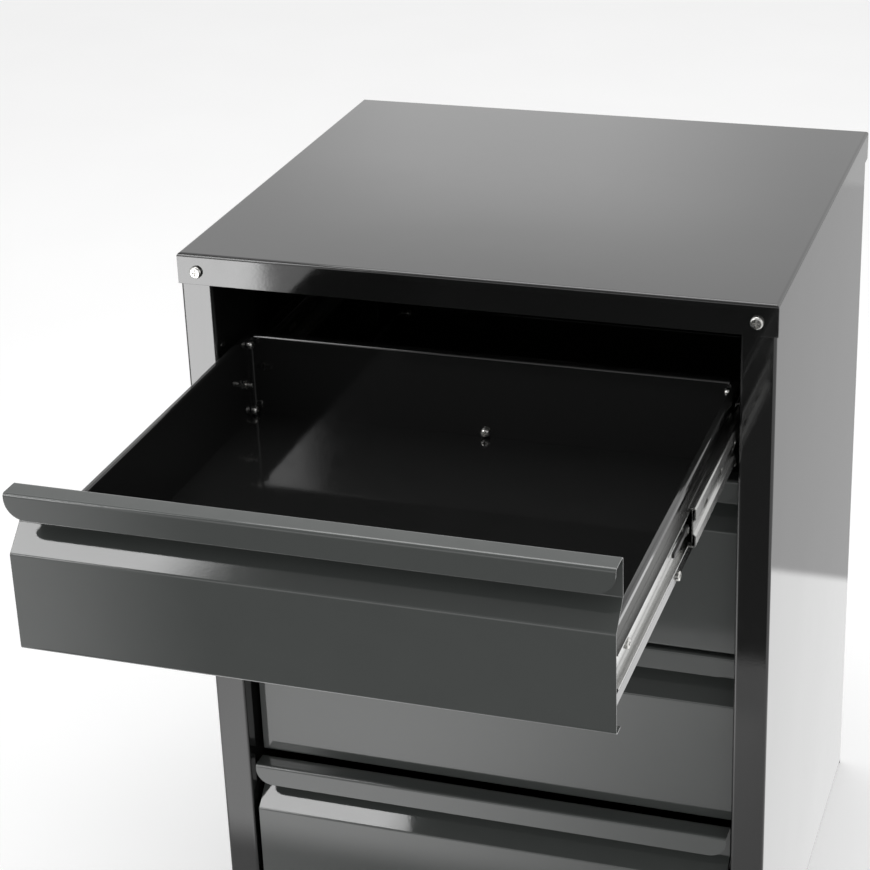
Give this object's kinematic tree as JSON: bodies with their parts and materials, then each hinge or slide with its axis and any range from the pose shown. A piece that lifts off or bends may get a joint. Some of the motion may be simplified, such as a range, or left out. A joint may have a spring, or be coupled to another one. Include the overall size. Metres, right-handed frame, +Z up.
{
  "type": "workshop drawer cabinet",
  "caption": "Free-standing sheet-steel workshop cabinet with drawers on telescopic ball slides and pull lips folded into the fronts.",
  "frame": {"origin": "on the floor, under the middle of the cabinet's own footprint, the open drawer left out", "axes": "+Z up, the drawers open towards -Y, +X to the right seen from the front"},
  "size_m": [0.563, 0.9221, 0.775],
  "materials": {
    "black_paint": "gloss",
    "grey_paint": "gloss",
    "zinc_slide": "bright zinc",
    "plated_screws": "zinc plated",
    "black_plastic": "satin"
  },
  "bodies": {
    "cabinet": {"top_cap": "black_paint", "left_side_panel": "black_paint", "right_side_panel": "black_paint", "left_rear_post": "black_paint", "right_rear_post": "black_paint", "back_panel": "black_paint", "base_tray": "black_paint", "cabinet_screws": "plated_screws", "slide_rivets": "plated_screws", "drawer_1_cabinet_rails": "zinc_slide", "drawer_2_cabinet_rails": "zinc_slide", "drawer_3_cabinet_rails": "zinc_slide", "drawer_4_cabinet_rails": "zinc_slide"},
    "drawer_1": {"drawer_1_front": "grey_paint", "drawer_1_left_wall": "black_paint", "drawer_1_right_wall": "black_paint", "drawer_1_back_wall": "black_paint", "drawer_1_floor_tray": "black_paint", "drawer_1_bolts": "plated_screws", "drawer_1_drawer_rails": "zinc_slide"},
    "drawer_1_middle_rails": {"drawer_1_middle_rails": "zinc_slide"},
    "drawer_1_outer_cages": {"drawer_1_outer_cages": "zinc_slide"},
    "drawer_1_inner_cages": {"drawer_1_inner_cages": "zinc_slide"},
    "drawer_1_release_levers": {"drawer_1_release_levers": "black_plastic"},
    "drawer_2": {"drawer_2_front": "grey_paint", "drawer_2_left_wall": "black_paint", "drawer_2_right_wall": "black_paint", "drawer_2_back_wall": "black_paint", "drawer_2_floor_tray": "black_paint", "drawer_2_bolts": "plated_screws", "drawer_2_drawer_rails": "zinc_slide"},
    "drawer_2_middle_rails": {"drawer_2_middle_rails": "zinc_slide"},
    "drawer_2_outer_cages": {"drawer_2_outer_cages": "zinc_slide"},
    "drawer_2_inner_cages": {"drawer_2_inner_cages": "zinc_slide"},
    "drawer_2_release_levers": {"drawer_2_release_levers": "black_plastic"},
    "drawer_3": {"drawer_3_front": "grey_paint", "drawer_3_left_wall": "black_paint", "drawer_3_right_wall": "black_paint", "drawer_3_back_wall": "black_paint", "drawer_3_floor_tray": "black_paint", "drawer_3_bolts": "plated_screws", "drawer_3_drawer_rails": "zinc_slide"},
    "drawer_3_middle_rails": {"drawer_3_middle_rails": "zinc_slide"},
    "drawer_3_outer_cages": {"drawer_3_outer_cages": "zinc_slide"},
    "drawer_3_inner_cages": {"drawer_3_inner_cages": "zinc_slide"},
    "drawer_3_release_levers": {"drawer_3_release_levers": "black_plastic"},
    "drawer_4": {"drawer_4_front": "grey_paint", "drawer_4_left_wall": "black_paint", "drawer_4_right_wall": "black_paint", "drawer_4_back_wall": "black_paint", "drawer_4_floor_tray": "black_paint", "drawer_4_bolts": "plated_screws", "drawer_4_drawer_rails": "zinc_slide"},
    "drawer_4_middle_rails": {"drawer_4_middle_rails": "zinc_slide"},
    "drawer_4_outer_cages": {"drawer_4_outer_cages": "zinc_slide"},
    "drawer_4_inner_cages": {"drawer_4_inner_cages": "zinc_slide"},
    "drawer_4_release_levers": {"drawer_4_release_levers": "black_plastic"}
  },
  "joints": [
    {"name": "drawer_1_slide", "type": "slide", "parent": "cabinet", "child": "drawer_1", "axis": [0, -1, 0], "range_m": [-0.442, 0]},
    {"name": "drawer_1_middle_rails_slide", "type": "slide", "parent": "cabinet", "child": "drawer_1_middle_rails", "axis": [0, -1, 0], "range_m": [-0.221, 0]},
    {"name": "drawer_1_outer_cages_slide", "type": "slide", "parent": "cabinet", "child": "drawer_1_outer_cages", "axis": [0, -1, 0], "range_m": [-0.1105, 0]},
    {"name": "drawer_1_inner_cages_slide", "type": "slide", "parent": "cabinet", "child": "drawer_1_inner_cages", "axis": [0, -1, 0], "range_m": [-0.3315, 0]},
    {"name": "drawer_1_levers_hinge", "type": "hinge", "parent": "drawer_1", "child": "drawer_1_release_levers", "pos_m": [0, -0.4165, 0.637], "axis": [1, 0, 0], "range_deg": [-5, 5], "stiffness_Nm_per_rad": 0.02},
    {"name": "drawer_2_slide", "type": "slide", "parent": "cabinet", "child": "drawer_2", "axis": [0, -1, 0], "range_m": [0, 0.442]},
    {"name": "drawer_2_middle_rails_slide", "type": "slide", "parent": "cabinet", "child": "drawer_2_middle_rails", "axis": [0, -1, 0], "range_m": [0, 0.221]},
    {"name": "drawer_2_outer_cages_slide", "type": "slide", "parent": "cabinet", "child": "drawer_2_outer_cages", "axis": [0, -1, 0], "range_m": [0, 0.1105]},
    {"name": "drawer_2_inner_cages_slide", "type": "slide", "parent": "cabinet", "child": "drawer_2_inner_cages", "axis": [0, -1, 0], "range_m": [0, 0.3315]},
    {"name": "drawer_2_levers_hinge", "type": "hinge", "parent": "drawer_2", "child": "drawer_2_release_levers", "pos_m": [0, 0.0255, 0.4479], "axis": [1, 0, 0], "range_deg": [-5, 5], "stiffness_Nm_per_rad": 0.02},
    {"name": "drawer_3_slide", "type": "slide", "parent": "cabinet", "child": "drawer_3", "axis": [0, -1, 0], "range_m": [0, 0.442]},
    {"name": "drawer_3_middle_rails_slide", "type": "slide", "parent": "cabinet", "child": "drawer_3_middle_rails", "axis": [0, -1, 0], "range_m": [0, 0.221]},
    {"name": "drawer_3_outer_cages_slide", "type": "slide", "parent": "cabinet", "child": "drawer_3_outer_cages", "axis": [0, -1, 0], "range_m": [0, 0.1105]},
    {"name": "drawer_3_inner_cages_slide", "type": "slide", "parent": "cabinet", "child": "drawer_3_inner_cages", "axis": [0, -1, 0], "range_m": [0, 0.3315]},
    {"name": "drawer_3_levers_hinge", "type": "hinge", "parent": "drawer_3", "child": "drawer_3_release_levers", "pos_m": [0, 0.0255, 0.2631], "axis": [1, 0, 0], "range_deg": [-5, 5], "stiffness_Nm_per_rad": 0.02},
    {"name": "drawer_4_slide", "type": "slide", "parent": "cabinet", "child": "drawer_4", "axis": [0, -1, 0], "range_m": [-0.024, 0.418]},
    {"name": "drawer_4_middle_rails_slide", "type": "slide", "parent": "cabinet", "child": "drawer_4_middle_rails", "axis": [0, -1, 0], "range_m": [-0.012, 0.209]},
    {"name": "drawer_4_outer_cages_slide", "type": "slide", "parent": "cabinet", "child": "drawer_4_outer_cages", "axis": [0, -1, 0], "range_m": [-0.006, 0.1045]},
    {"name": "drawer_4_inner_cages_slide", "type": "slide", "parent": "cabinet", "child": "drawer_4_inner_cages", "axis": [0, -1, 0], "range_m": [-0.018, 0.3135]},
    {"name": "drawer_4_levers_hinge", "type": "hinge", "parent": "drawer_4", "child": "drawer_4_release_levers", "pos_m": [0, 0.0015, 0.0783], "axis": [1, 0, 0], "range_deg": [-5, 5], "stiffness_Nm_per_rad": 0.02}
  ],
  "couplings": [
    {"joint": "drawer_1_middle_rails_slide", "follows": "drawer_1_slide", "ratio": 0.5},
    {"joint": "drawer_1_outer_cages_slide", "follows": "drawer_1_slide", "ratio": 0.25},
    {"joint": "drawer_1_inner_cages_slide", "follows": "drawer_1_slide", "ratio": 0.75},
    {"joint": "drawer_2_middle_rails_slide", "follows": "drawer_2_slide", "ratio": 0.5},
    {"joint": "drawer_2_outer_cages_slide", "follows": "drawer_2_slide", "ratio": 0.25},
    {"joint": "drawer_2_inner_cages_slide", "follows": "drawer_2_slide", "ratio": 0.75},
    {"joint": "drawer_3_middle_rails_slide", "follows": "drawer_3_slide", "ratio": 0.5},
    {"joint": "drawer_3_outer_cages_slide", "follows": "drawer_3_slide", "ratio": 0.25},
    {"joint": "drawer_3_inner_cages_slide", "follows": "drawer_3_slide", "ratio": 0.75},
    {"joint": "drawer_4_middle_rails_slide", "follows": "drawer_4_slide", "ratio": 0.5},
    {"joint": "drawer_4_outer_cages_slide", "follows": "drawer_4_slide", "ratio": 0.25},
    {"joint": "drawer_4_inner_cages_slide", "follows": "drawer_4_slide", "ratio": 0.75}
  ]
}
